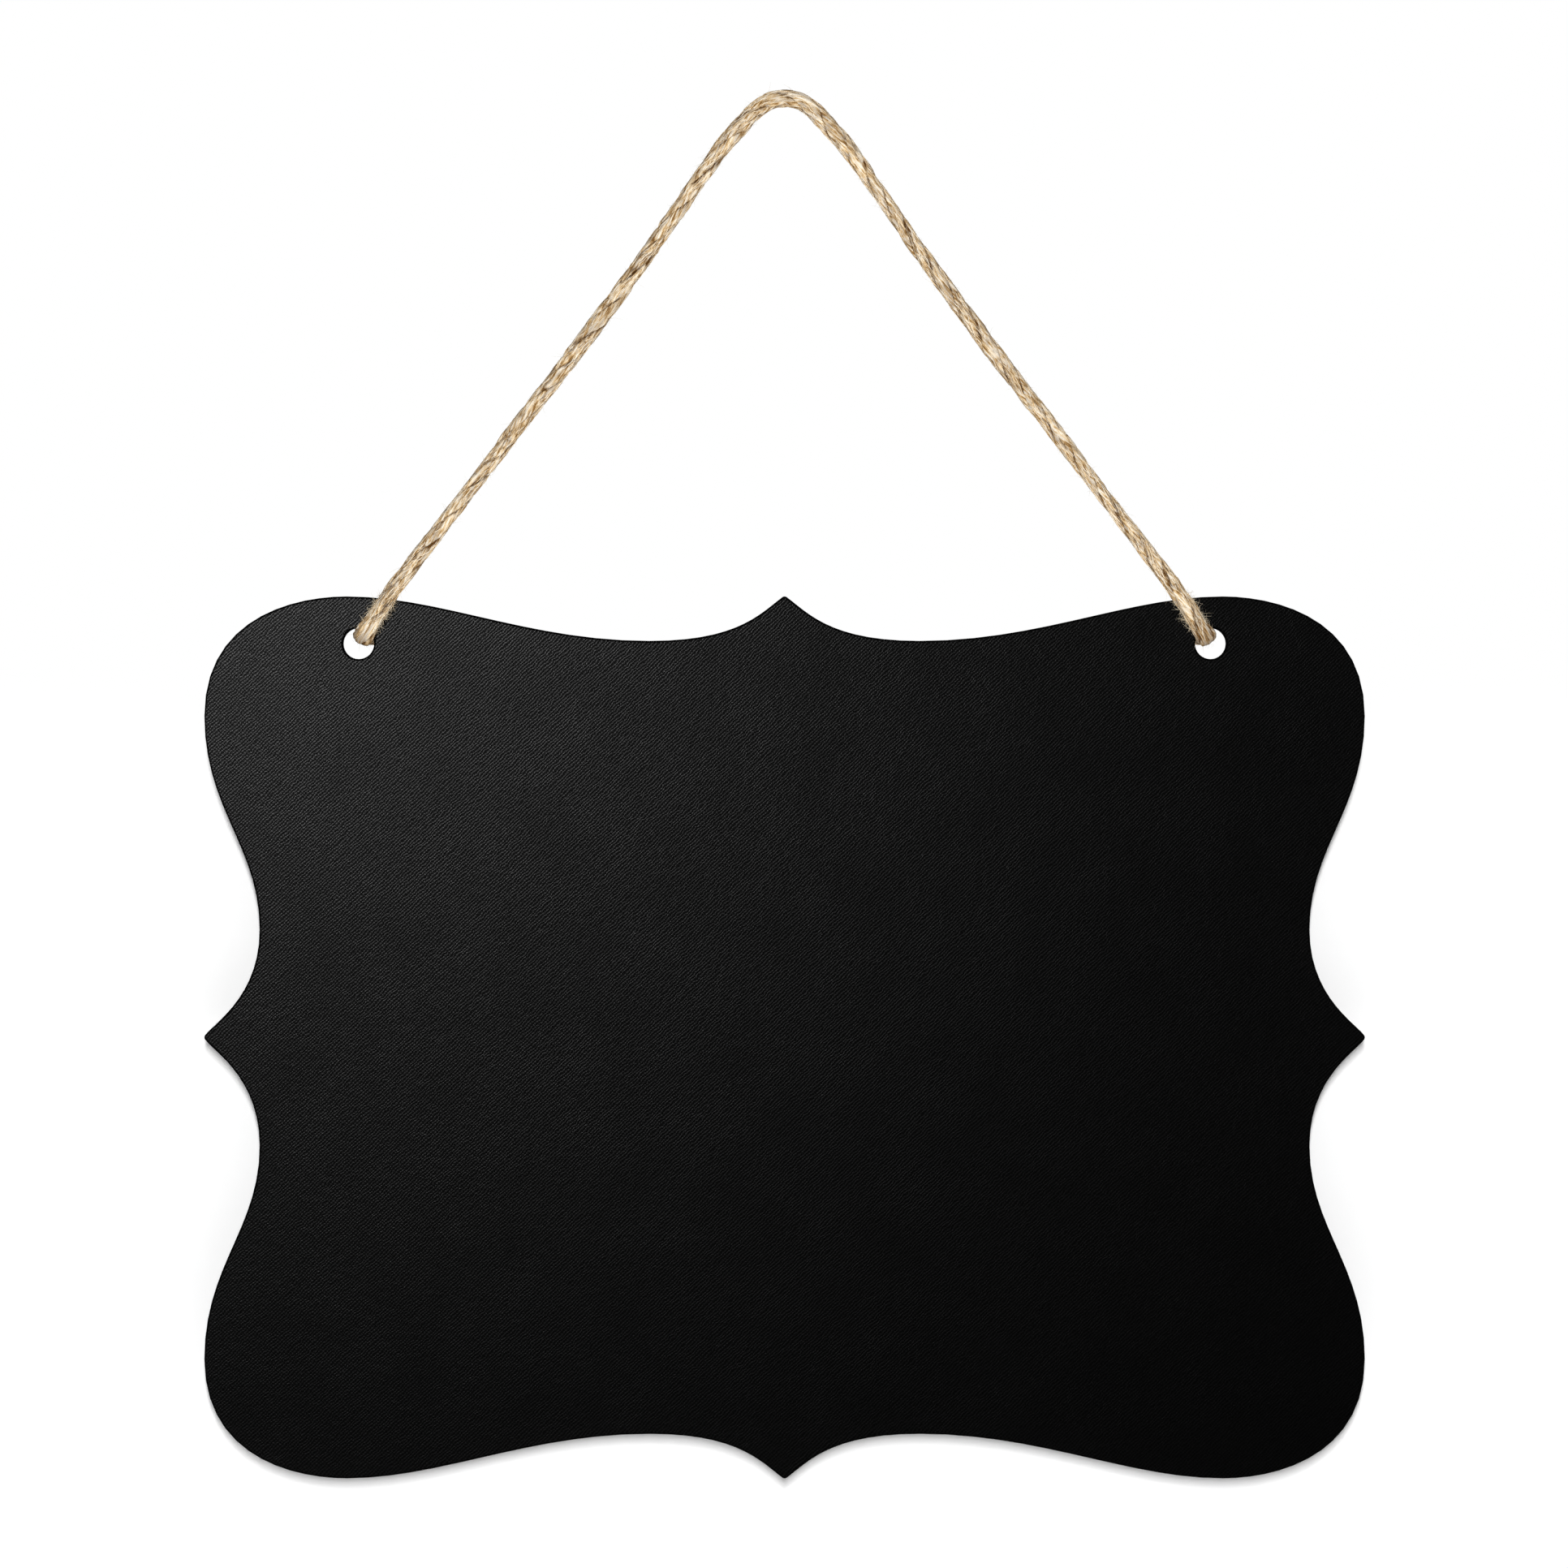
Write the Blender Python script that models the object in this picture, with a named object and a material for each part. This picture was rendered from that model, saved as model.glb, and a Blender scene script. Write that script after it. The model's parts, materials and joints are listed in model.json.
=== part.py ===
"""Hanging sign: a shaped blackboard plaque that hangs from a loop of jute rope.

Lengths are in metres. The origin is the hang point, under the top of the rope, where a hook
carries the loop. +X is right seen from the front, +Y is away from the viewer and +Z is up.
The free rope lies in the plane y = 0, and the board lies just behind it.
"""

import math

import bpy
import numpy as np

# Clearance
SEAT_GAP = 0.0003

# Board
BOARD_WIDTH = 0.300
BOARD_HEIGHT = 0.228
CORE_THICKNESS = 0.0032
CORE_EDGE_EASE = 0.0005
SHEET_THICKNESS = 0.0004
SHEET_INSET = 0.0005

# Outline of the board
LOBE_WIDTH = 0.0368
LOBE_HEIGHT = 0.0309
VALLEY_DEPTH = 0.0115
WAIST_DEPTH = 0.0143
TIP_RADIUS = 0.0010
VALLEY_PLACE_SHARE = 0.233
WAIST_PLACE_SHARE = 0.245
TOP_TIP_ANGLE = math.radians(37)
SIDE_TIP_ANGLE = math.radians(36)
TIP_TO_VALLEY_SHARES = (0.21, 0.65)
VALLEY_TO_LOBE_SHARES = (0.40, 0.31)
LOBE_CORNER_SHARES = (0.39, 0.81)
LOBE_TO_WAIST_SHARES = (0.44, 0.39)
WAIST_TO_TIP_SHARES = (0.62, 0.14)
CURVE_STEPS = 13
TIP_STEPS = 3

# Rope holes
HOLE_DIAMETER = 0.008
HOLE_SIDE_INSET = 0.0399
HOLE_TOP_INSET = 0.0122
HOLE_STEPS = 32

# Rope
ROPE_DIAMETER = 0.0044
HANG_HEIGHT = 0.1384
PULL_ANGLE = math.radians(35)
ROPE_POINT_SPACING = 0.005
DOME_STEPS = 4
# Half of the loop, from its top down to the hole: shares of its reach and of its drop
ROPE_ROUTE_SHARES = (
    (0.000, 0.000), (0.036, 0.005), (0.064, 0.019), (0.089, 0.039), (0.119, 0.064),
    (0.152, 0.095), (0.215, 0.165), (0.278, 0.237), (0.343, 0.309), (0.410, 0.381),
    (0.478, 0.453), (0.549, 0.526), (0.621, 0.598), (0.690, 0.670), (0.761, 0.743),
    (0.832, 0.815), (0.885, 0.869), (0.921, 0.906), (0.971, 0.966), (1.000, 1.000),
)

# Knots
KNOT_STRAND = 0.0037
KNOT_GAP = 0.0007
KNOT_POINT_SPACING = 0.0016
TAIL_SWELL_LENGTH = 0.008
# Stretches of the knot that lie further apart along the rope than this many strands are neighbours
NEIGHBOUR_STRANDS_SHARE = 2.5
# An overhand knot laid flat behind the board, inward of its hole, with its first stretch on top:
# shares of the pitch between two strands that touch
KNOT_SIZE_SHARE = 0.76
KNOT_START_SHARES = (0.90, 0.50)
KNOT_LIFT_SHARE = 0.62
KNOT_CROSSING_STEEPNESS = 2.0
KNOT_FIRST_ANGLE = math.pi + 0.62
KNOT_LAST_ANGLE = 3 * math.pi - 0.80
KNOT_STEPS = 20
# The tail after the knot: inward of the knot's end, away from the board, and above the knot's end
TAIL_ROUTE_SHARES = (
    (-0.75, 0.57, -0.12), (-1.35, 0.58, -0.62), (-1.60, 0.59, -1.50), (-1.62, 0.61, -2.50),
    (-1.58, 0.66, -3.50),
)

# Places that follow from the sizes above
ROPE_RADIUS = ROPE_DIAMETER / 2
HOLE_RADIUS = HOLE_DIAMETER / 2
HOLE_X = BOARD_WIDTH / 2 - HOLE_SIDE_INSET
HOLE_Z = -HANG_HEIGHT
TIGHT_RADIUS = KNOT_STRAND / 2
STEM_OFFSET = HOLE_RADIUS - TIGHT_RADIUS - SEAT_GAP
STEM_X = HOLE_X - STEM_OFFSET * math.sin(PULL_ANGLE)
PIVOT_Z = HOLE_Z + STEM_OFFSET * math.cos(PULL_ANGLE)
BOARD_Z = HOLE_Z + HOLE_TOP_INSET - BOARD_HEIGHT / 2
FRONT_Y = ROPE_RADIUS + SEAT_GAP
CORE_Y = FRONT_Y + SHEET_THICKNESS + SEAT_GAP
BACK_SHEET_Y = CORE_Y + CORE_THICKNESS + SEAT_GAP
BACK_Y = BACK_SHEET_Y + SHEET_THICKNESS
STEM_Y = TIGHT_RADIUS + SEAT_GAP
KNOT_PITCH = KNOT_STRAND + KNOT_GAP


def clear_scene():
    for thing in list(bpy.data.objects):
        bpy.data.objects.remove(thing, do_unlink=True)


def make_material(name, colour, roughness):
    material = bpy.data.materials.new(name)
    material.use_nodes = True
    shader = material.node_tree.nodes["Principled BSDF"]
    shader.inputs["Base Color"].default_value = (*colour, 1)
    shader.inputs["Roughness"].default_value = roughness
    shader.inputs["Metallic"].default_value = 0
    return material


def link_object(name, data, material):
    thing = bpy.data.objects.new(name, data)
    bpy.context.scene.collection.objects.link(thing)
    data.materials.append(material)
    return thing


def make_pivot():
    """An empty on the line where the two rope legs meet the board, which swings about it."""
    pivot = bpy.data.objects.new("board_pivot", None)
    pivot.location = (0, 0, PIVOT_Z)
    bpy.context.scene.collection.objects.link(pivot)
    return pivot


def bezier(start, handle_a, handle_b, end):
    """Points along one cubic curve, without its last point."""
    t = (np.arange(CURVE_STEPS) / CURVE_STEPS)[:, None]
    s = 1 - t
    return s**3 * start + 3 * s * s * t * handle_a + 3 * s * t * t * handle_b + t**3 * end


def arc(centre, radius, first_angle, last_angle, steps, closed):
    """Points along a circular arc, with its last point only where closed is set."""
    count = steps + 1 if closed else steps
    angle = first_angle + (last_angle - first_angle) * np.arange(count) / steps
    return centre + radius * np.column_stack((np.cos(angle), np.sin(angle)))


def quarter_outline():
    """The upper right quarter of the outline, from the top tip round to the side tip."""
    half_width, half_height = BOARD_WIDTH / 2, BOARD_HEIGHT / 2
    across, up = np.array((1.0, 0.0)), np.array((0.0, 1.0))
    valley = np.array((VALLEY_PLACE_SHARE * half_width, half_height - VALLEY_DEPTH))
    lobe_top = np.array((half_width - LOBE_WIDTH, half_height))
    lobe_side = np.array((half_width, half_height - LOBE_HEIGHT))
    waist = np.array((half_width - WAIST_DEPTH, WAIST_PLACE_SHARE * half_height))
    top_centre = np.array((0, half_height - TIP_RADIUS))
    side_centre = np.array((half_width - TIP_RADIUS, 0))
    top_normal = np.array((math.sin(TOP_TIP_ANGLE), math.cos(TOP_TIP_ANGLE)))
    side_normal = np.array((math.cos(SIDE_TIP_ANGLE), math.sin(SIDE_TIP_ANGLE)))
    top_slope = np.array((top_normal[1], -top_normal[0]))
    side_slope = np.array((-side_normal[1], side_normal[0]))
    top_start = top_centre + TIP_RADIUS * top_normal
    side_end = side_centre + TIP_RADIUS * side_normal
    near, far = TIP_TO_VALLEY_SHARES
    first = bezier(
        top_start, top_start + near * valley[0] * top_slope, valley - far * valley[0] * across, valley
    )
    near, far = VALLEY_TO_LOBE_SHARES
    rise_run = (lobe_top - valley)[0] * across
    second = bezier(valley, valley + near * rise_run, lobe_top - far * rise_run, lobe_top)
    near, far = LOBE_CORNER_SHARES
    third = bezier(
        lobe_top, lobe_top + near * LOBE_WIDTH * across, lobe_side + far * LOBE_HEIGHT * up, lobe_side
    )
    near, far = LOBE_TO_WAIST_SHARES
    fall = (lobe_side - waist)[1] * up
    fourth = bezier(lobe_side, lobe_side - near * fall, waist + far * fall, waist)
    near, far = WAIST_TO_TIP_SHARES
    fifth = bezier(
        waist, waist - near * waist[1] * up, side_end + far * waist[1] * side_slope, side_end
    )
    right_angle = math.pi / 2
    top_arc = arc(
        top_centre, TIP_RADIUS, right_angle, right_angle - TOP_TIP_ANGLE, TIP_STEPS, False
    )
    side_arc = arc(side_centre, TIP_RADIUS, SIDE_TIP_ANGLE, 0, TIP_STEPS, True)
    return np.vstack((top_arc, first, second, third, fourth, fifth, side_arc))


def board_outline(inset):
    """The whole outline, from four mirrored quarters, drawn in evenly by an inset."""
    quarter = quarter_outline()
    half = np.vstack((quarter, (quarter[::-1] * (1, -1))[1:]))
    whole = np.vstack((half[:-1], -half[:-1]))
    along = np.roll(whole, -1, axis=0) - np.roll(whole, 1, axis=0)
    along /= np.linalg.norm(along, axis=1)[:, None]
    inward = np.column_stack((along[:, 1], -along[:, 0]))
    return whole + inset * inward


def hole_outline(side, inset):
    centre = np.array((side * HOLE_X, HOLE_Z - BOARD_Z))
    return arc(centre, HOLE_RADIUS + inset, 0, math.tau, HOLE_STEPS, False)


def add_closed_spline(curve, points):
    spline = curve.splines.new("POLY")
    spline.points.add(len(points) - 1)
    rows = np.column_stack((points, np.zeros(len(points)), np.ones(len(points))))
    spline.points.foreach_set("co", rows.ravel())
    spline.use_cyclic_u = True


def make_panel(name, pivot, near_y, thickness, inset, ease, material):
    """A flat plate with the board's outline and both holes, and with eased edges."""
    curve = bpy.data.curves.new(name, "CURVE")
    curve.dimensions = "2D"
    curve.fill_mode = "BOTH"
    curve.extrude = thickness / 2 - ease
    curve.bevel_depth = ease
    curve.bevel_resolution = 1
    add_closed_spline(curve, board_outline(inset + ease))
    for side in (-1, 1):
        add_closed_spline(curve, hole_outline(side, inset + ease)[::-1])
    panel = link_object(name, curve, material)
    panel.parent = pivot
    panel.rotation_euler = (math.pi / 2, 0, 0)
    panel.location = (0, near_y + thickness / 2, BOARD_Z - PIVOT_Z)
    return panel


def smooth_route(points, spacing):
    """Evenly spaced points on the smooth curve through a route's points.

    Each stretch is a cubic whose slope at a point is that of the line between its two neighbours,
    with stretches timed by the root of their length, which keeps the curve free of loops.
    """
    points = np.asarray(points, float)
    ends = np.vstack((2 * points[0] - points[1], points, 2 * points[-1] - points[-2]))
    fine = []
    for a, b, c, d in zip(ends[:-3], ends[1:-2], ends[2:-1], ends[3:]):
        t1 = math.sqrt(np.linalg.norm(b - a))
        t2 = t1 + math.sqrt(np.linalg.norm(c - b))
        t3 = t2 + math.sqrt(np.linalg.norm(d - c))
        t = np.linspace(t1, t2, 24, endpoint=False)[:, None]
        ab = (t1 - t) / t1 * a + t / t1 * b
        bc = (t2 - t) / (t2 - t1) * b + (t - t1) / (t2 - t1) * c
        cd = (t3 - t) / (t3 - t2) * c + (t - t2) / (t3 - t2) * d
        abc = (t2 - t) / t2 * ab + t / t2 * bc
        bcd = (t3 - t) / (t3 - t1) * bc + (t - t1) / (t3 - t1) * cd
        fine.append((t2 - t) / (t2 - t1) * abc + (t - t1) / (t2 - t1) * bcd)
    fine = np.vstack((*fine, points[-1:]))
    reach = np.concatenate(([0], np.cumsum(np.linalg.norm(np.diff(fine, axis=0), axis=1))))
    places = np.linspace(0, reach[-1], round(reach[-1] / spacing) + 1)
    return np.column_stack([np.interp(places, reach, fine[:, i]) for i in range(3)])


def length_of(points):
    return float(np.linalg.norm(np.diff(points, axis=0), axis=1).sum())


def make_tube(name, points, radii, material):
    """A round tube along the points, with its own radius at each."""
    curve = bpy.data.curves.new(name, "CURVE")
    curve.dimensions = "3D"
    curve.bevel_depth = ROPE_RADIUS
    curve.bevel_resolution = 2
    curve.use_fill_caps = True
    spline = curve.splines.new("POLY")
    spline.points.add(len(points) - 1)
    rows = np.column_stack((points, np.ones(len(points))))
    spline.points.foreach_set("co", rows.ravel())
    spline.points.foreach_set("radius", np.asarray(radii) / ROPE_RADIUS)
    spline.use_smooth = True
    return link_object(name, curve, material)


def rope_route():
    """The loop's centre line from the left hole over the hook to the right hole."""
    shares = np.array(ROPE_ROUTE_SHARES)
    across = shares[:, 0] * STEM_X
    height = ROPE_RADIUS - shares[:, 1] * (ROPE_RADIUS - PIVOT_Z)
    right = np.column_stack((across, np.zeros(len(across)), height))
    left = right[:0:-1] * (-1, 1, 1)
    return np.vstack((left, right))


def rope_dome(end, inner):
    """Points and radii that round the rope's tight end off about a centre on the pivot line."""
    outward = (end - inner) / np.linalg.norm(end - inner)
    angles = np.arange(1, DOME_STEPS + 1) / (DOME_STEPS + 0.25) * math.pi / 2
    points = end + TIGHT_RADIUS * np.sin(angles)[:, None] * outward
    return points, TIGHT_RADIUS * np.cos(angles)


def make_rope(material):
    points = smooth_route(rope_route(), ROPE_POINT_SPACING)
    print(f"hanging_rope: {1000 * length_of(points):.1f} mm from hole to hole")
    first, first_radii = rope_dome(points[0], points[1])
    last, last_radii = rope_dome(points[-1], points[-2])
    radii = np.full(len(points), ROPE_RADIUS)
    radii[[0, -1]] = TIGHT_RADIUS
    radii = np.concatenate((first_radii[::-1], radii, last_radii))
    return make_tube("hanging_rope", np.vstack((first[::-1], points, last)), radii, material)


def knot_loops():
    """The overhand knot: a trefoil, opened at its outward lobe and laid flat in two layers.

    Its plan is the curve (sin t + 2 sin 2t, cos t - 2 cos 2t), and its height swings between the
    layers as -sin 3t does, which takes each stretch over one crossing and under the next.
    """
    t = np.linspace(KNOT_FIRST_ANGLE, KNOT_LAST_ANGLE, KNOT_STEPS + 1)
    inward = np.cos(t) - 2 * np.cos(2 * t)
    up = np.sin(t) + 2 * np.sin(2 * t)
    swing = np.tanh(-KNOT_CROSSING_STEEPNESS * np.sin(3 * t)) / math.tanh(KNOT_CROSSING_STEEPNESS)
    first_inward, layer = KNOT_START_SHARES
    return np.column_stack(
        (
            first_inward + KNOT_SIZE_SHARE * (inward - inward[0]),
            layer + KNOT_LIFT_SHARE * (1 + swing),
            KNOT_SIZE_SHARE * (up - up[0]),
        )
    )


def knot_route(side):
    """One rope end: straight through its hole, inward into the knot, and out to the tail."""
    stem_length = BACK_Y - STEM_Y
    stem = [(side * STEM_X, STEM_Y + stem_length * part / 2, PIVOT_Z) for part in range(3)]
    loops = knot_loops()
    tail = np.array(TAIL_ROUTE_SHARES) + loops[-1] * (1, 0, 1)
    shares = np.vstack(((0, loops[0, 1] / 2, 0), loops, tail))
    knot = shares * KNOT_PITCH * (-side, 1, 1) + (side * STEM_X, BACK_Y, PIVOT_Z)
    return np.vstack((stem, knot))


def knot_radii(points):
    """Drawn down where the knot is pulled tight, and swelling back to full size along the tail."""
    to_end = length_of(points) * np.linspace(1, 0, len(points))
    swell = 1 - np.clip(to_end / TAIL_SWELL_LENGTH, 0, 1)
    return TIGHT_RADIUS + (ROPE_RADIUS - TIGHT_RADIUS) * swell


def least_gap(points, radii):
    """The least gap between stretches of one tube that are neighbours but not next in line."""
    steps = np.linalg.norm(np.diff(points, axis=0), axis=1)
    reach = np.concatenate(([0], np.cumsum(steps)))
    apart = np.abs(reach[:, None] - reach[None]) > NEIGHBOUR_STRANDS_SHARE * KNOT_STRAND
    distance = np.linalg.norm(points[:, None] - points[None], axis=2)
    gap = distance - radii[:, None] - radii[None]
    return float(gap[apart].min())


def make_knot(name, side, pivot, material):
    points = smooth_route(knot_route(side), KNOT_POINT_SPACING)
    radii = knot_radii(points)
    gap, length = 1000 * least_gap(points, radii), 1000 * length_of(points)
    print(f"{name}: {length:.1f} mm of rope, least gap to itself {gap:.2f} mm")
    knot = make_tube(name, points - (0, 0, PIVOT_Z), radii, material)
    knot.parent = pivot
    return knot


def build_sign():
    clear_scene()
    core_finish = make_material("black_stained_fibreboard", (0.012, 0.012, 0.012), 0.7)
    sheet_finish = make_material("blackboard_film", (0.016, 0.016, 0.016), 0.55)
    rope_finish = make_material("jute", (0.50, 0.38, 0.24), 0.9)
    pivot = make_pivot()
    make_panel(
        "board_core", pivot, CORE_Y, CORE_THICKNESS, 0, CORE_EDGE_EASE, core_finish
    )
    for name, near_y in (("front_writing_sheet", FRONT_Y), ("back_writing_sheet", BACK_SHEET_Y)):
        make_panel(name, pivot, near_y, SHEET_THICKNESS, SHEET_INSET, 0, sheet_finish)
    make_rope(rope_finish)
    for name, side in (("left_knot", -1), ("right_knot", 1)):
        make_knot(name, side, pivot, rope_finish)


build_sign()
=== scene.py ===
import json
import math

import bpy
import numpy as np
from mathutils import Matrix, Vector


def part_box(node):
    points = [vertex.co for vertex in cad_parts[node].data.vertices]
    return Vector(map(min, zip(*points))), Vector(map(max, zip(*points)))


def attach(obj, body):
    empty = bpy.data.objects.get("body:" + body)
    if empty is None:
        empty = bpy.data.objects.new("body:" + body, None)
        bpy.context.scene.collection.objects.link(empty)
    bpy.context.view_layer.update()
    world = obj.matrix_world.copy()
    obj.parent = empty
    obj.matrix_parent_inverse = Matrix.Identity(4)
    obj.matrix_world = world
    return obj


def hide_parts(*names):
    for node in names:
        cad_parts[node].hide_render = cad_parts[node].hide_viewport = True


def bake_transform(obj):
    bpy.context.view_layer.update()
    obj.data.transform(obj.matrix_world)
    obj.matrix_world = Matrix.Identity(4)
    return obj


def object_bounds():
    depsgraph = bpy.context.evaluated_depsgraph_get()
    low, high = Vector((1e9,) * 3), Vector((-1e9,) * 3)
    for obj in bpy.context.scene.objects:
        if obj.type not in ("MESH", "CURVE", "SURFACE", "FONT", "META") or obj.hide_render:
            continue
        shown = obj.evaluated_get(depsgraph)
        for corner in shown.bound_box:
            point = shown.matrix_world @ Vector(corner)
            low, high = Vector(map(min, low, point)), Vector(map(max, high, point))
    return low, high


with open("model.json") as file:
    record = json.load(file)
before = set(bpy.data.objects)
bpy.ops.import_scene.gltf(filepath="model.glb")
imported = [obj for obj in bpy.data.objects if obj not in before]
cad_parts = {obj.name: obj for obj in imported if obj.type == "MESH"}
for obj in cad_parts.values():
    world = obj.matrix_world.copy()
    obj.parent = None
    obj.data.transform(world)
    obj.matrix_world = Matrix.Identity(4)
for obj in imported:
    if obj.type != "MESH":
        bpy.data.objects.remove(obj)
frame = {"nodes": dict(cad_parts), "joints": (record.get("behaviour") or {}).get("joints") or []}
cad_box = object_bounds()


# Camera. A long lens straight in front of the board's face, level with the middle of the sign,
# so that the board shows no edge, as in the photograph.
PICTURE_WIDTH = 0.4051
CAMERA_DISTANCE = 2.0
CAMERA_X = -0.00015
CAMERA_Z = -0.1747
SENSOR_WIDTH = 36.0
VIEW_DEPTH = 100.0

board_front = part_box("front_writing_sheet")[0].y

view_data = bpy.data.cameras.new("front_view")
view_data.sensor_width = SENSOR_WIDTH
view_data.lens = SENSOR_WIDTH * CAMERA_DISTANCE / PICTURE_WIDTH
view_data.clip_end = VIEW_DEPTH
camera = bpy.data.objects.new("front_view", view_data)
camera.location = (CAMERA_X, board_front - CAMERA_DISTANCE, CAMERA_Z)
camera.rotation_euler = (math.pi / 2, 0, 0)
bpy.context.scene.collection.objects.link(camera)
bpy.context.scene.camera = camera
bpy.context.scene.view_settings.view_transform = "Standard"


# Rope. One length of three-strand jute twine, laid right-handed, that hangs over a hook at the
# origin. Each end goes over the front of the board, turns into its hole and ends in a stopper
# knot behind it: a flat overhand knot, drawn tight by hand, with a short cut tail.
ROPE_DIAMETER = 0.0044
TIGHT_DIAMETER = 0.0037
STEM_X = 0.10904
HOLE_X = 0.1101
HOLE_Z = -0.1384
HOLE_RADIUS = 0.0040
TURN_RADIUS = 0.0025
TURN_POINTS = 12
STEM_POINTS = 4
KNOT_PITCH = 0.0044
KNOT_SIZE_SHARE = 0.76
KNOT_START_SHARES = (0.90, 0.50)
KNOT_LIFT_SHARE = 0.62
KNOT_CROSSING_STEEPNESS = 2.0
KNOT_FIRST_ANGLE = math.pi + 0.62
KNOT_LAST_ANGLE = 3 * math.pi - 0.80
KNOT_STEPS = 20
ROUTE_STEPS = 24
ROW_SPACING = 0.00047
# The rope's route, which the solids follow too: half of the loop from its top down to the hole, as
# shares of its reach and of its drop, and the tail after the knot, in shares of the knot's pitch
ROPE_ROUTE_SHARES = (
    (0.000, 0.000), (0.036, 0.005), (0.064, 0.019), (0.089, 0.039), (0.119, 0.064),
    (0.152, 0.095), (0.215, 0.165), (0.278, 0.237), (0.343, 0.309), (0.410, 0.381),
    (0.478, 0.453), (0.549, 0.526), (0.621, 0.598), (0.690, 0.670), (0.761, 0.743),
    (0.832, 0.815), (0.885, 0.869), (0.921, 0.906), (0.971, 0.966), (1.000, 1.000),
)
TAIL_ROUTE_SHARES = (
    (-0.75, 0.57, -0.12), (-1.35, 0.58, -0.62), (-1.60, 0.59, -1.50), (-1.62, 0.61, -2.50),
    (-1.58, 0.66, -3.50),
)

pivot = Vector(frame["joints"][0]["pos_m"])
board_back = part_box("back_writing_sheet")[1].y


def smooth_route(points, spacing):
    """Evenly spaced points on the smooth curve through a route's points.

    Each stretch is a cubic whose slope at a point is that of the line between its two neighbours,
    with stretches timed by the root of their length, which keeps the curve free of loops.
    """
    points = np.asarray(points, float)
    ends = np.vstack((2 * points[0] - points[1], points, 2 * points[-1] - points[-2]))
    fine = []
    for a, b, c, d in zip(ends[:-3], ends[1:-2], ends[2:-1], ends[3:]):
        t1 = math.sqrt(np.linalg.norm(b - a))
        t2 = t1 + math.sqrt(np.linalg.norm(c - b))
        t3 = t2 + math.sqrt(np.linalg.norm(d - c))
        t = np.linspace(t1, t2, ROUTE_STEPS, endpoint=False)[:, None]
        ab = (t1 - t) / t1 * a + t / t1 * b
        bc = (t2 - t) / (t2 - t1) * b + (t - t1) / (t2 - t1) * c
        cd = (t3 - t) / (t3 - t2) * c + (t - t2) / (t3 - t2) * d
        abc = (t2 - t) / t2 * ab + t / t2 * bc
        bcd = (t3 - t) / (t3 - t1) * bc + (t - t1) / (t3 - t1) * cd
        fine.append((t2 - t) / (t2 - t1) * abc + (t - t1) / (t2 - t1) * bcd)
    return evenly(np.vstack((*fine, points[-1:])), spacing)


def reach_along(points):
    """How far along the line each of its points lies: the sum of the steps before it."""
    steps = np.linalg.norm(np.diff(points, axis=0), axis=1)
    return np.concatenate(([0], np.cumsum(steps)))


def evenly(points, spacing):
    """The same line with its points an even distance apart."""
    reach = reach_along(points)
    places = np.linspace(0, reach[-1], round(reach[-1] / spacing) + 1)
    return np.column_stack([np.interp(places, reach, points[:, i]) for i in range(3)])


def half_loop():
    """The right half of the loop, down to where its leg starts to turn in, and its last point."""
    shares = np.array(ROPE_ROUTE_SHARES)
    top = ROPE_DIAMETER / 2
    across = shares[:, 0] * STEM_X
    height = top - shares[:, 1] * (top - pivot.z)
    right = np.column_stack((across, np.zeros(len(across)), height))
    whole = smooth_route(np.vstack((right[:0:-1] * (-1, 1, 1), right)), ROW_SPACING)
    half = whole[len(whole) // 2:]
    to_end = np.linalg.norm(half - half[-1], axis=1)
    return half[to_end > TURN_RADIUS], half[-1]


def turn_into_hole(leg, corner):
    """A quarter circle that touches the leg and the hole's own axis."""
    down = corner - leg[-1]
    down /= np.linalg.norm(down)
    back = np.array((0.0, 1.0, 0.0))
    angle = np.linspace(0, math.pi / 2, TURN_POINTS)[1:, None]
    centre = corner + TURN_RADIUS * (back - down)
    return centre + TURN_RADIUS * (np.sin(angle) * down - np.cos(angle) * back)


def knot_route():
    """The right end's route behind the turn: the hole, the overhand knot and the tail.

    In plan the knot is the trefoil (sin t + 2 sin 2t, cos t - 2 cos 2t), opened at its outward
    lobe, and its height swings between two layers as -sin 3t does, over one crossing and under
    the next.
    """
    t = np.linspace(KNOT_FIRST_ANGLE, KNOT_LAST_ANGLE, KNOT_STEPS + 1)
    inward = np.cos(t) - 2 * np.cos(2 * t)
    up = np.sin(t) + 2 * np.sin(2 * t)
    swing = np.tanh(-KNOT_CROSSING_STEEPNESS * np.sin(3 * t)) / math.tanh(KNOT_CROSSING_STEEPNESS)
    first_inward, layer = KNOT_START_SHARES
    loops = np.column_stack(
        (
            first_inward + KNOT_SIZE_SHARE * (inward - inward[0]),
            layer + KNOT_LIFT_SHARE * (1 + swing),
            KNOT_SIZE_SHARE * (up - up[0]),
        )
    )
    tail = np.array(TAIL_ROUTE_SHARES) + loops[-1] * (1, 0, 1)
    shares = np.vstack(((0, loops[0, 1] / 2, 0), loops, tail))
    knot = shares * KNOT_PITCH * (-1, 1, 1) + (STEM_X, board_back, pivot.z)
    stem = np.linspace(
        (STEM_X, TURN_RADIUS, pivot.z), (STEM_X, board_back, pivot.z), STEM_POINTS
    )
    return smooth_route(np.vstack((stem, knot)), ROW_SPACING)


leg, corner = half_loop()
turned = np.vstack((leg, turn_into_hole(leg, corner)))
knotted = knot_route()
half_rope = np.vstack((turned, knotted[1:]))
half_reach = reach_along(half_rope)[-1]
hole_reach = reach_along(turned)[-1]
rope_path = evenly(np.vstack((half_rope[:0:-1] * (-1, 1, 1), half_rope)), ROW_SPACING)
rope_reach = reach_along(rope_path) - half_reach


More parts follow.
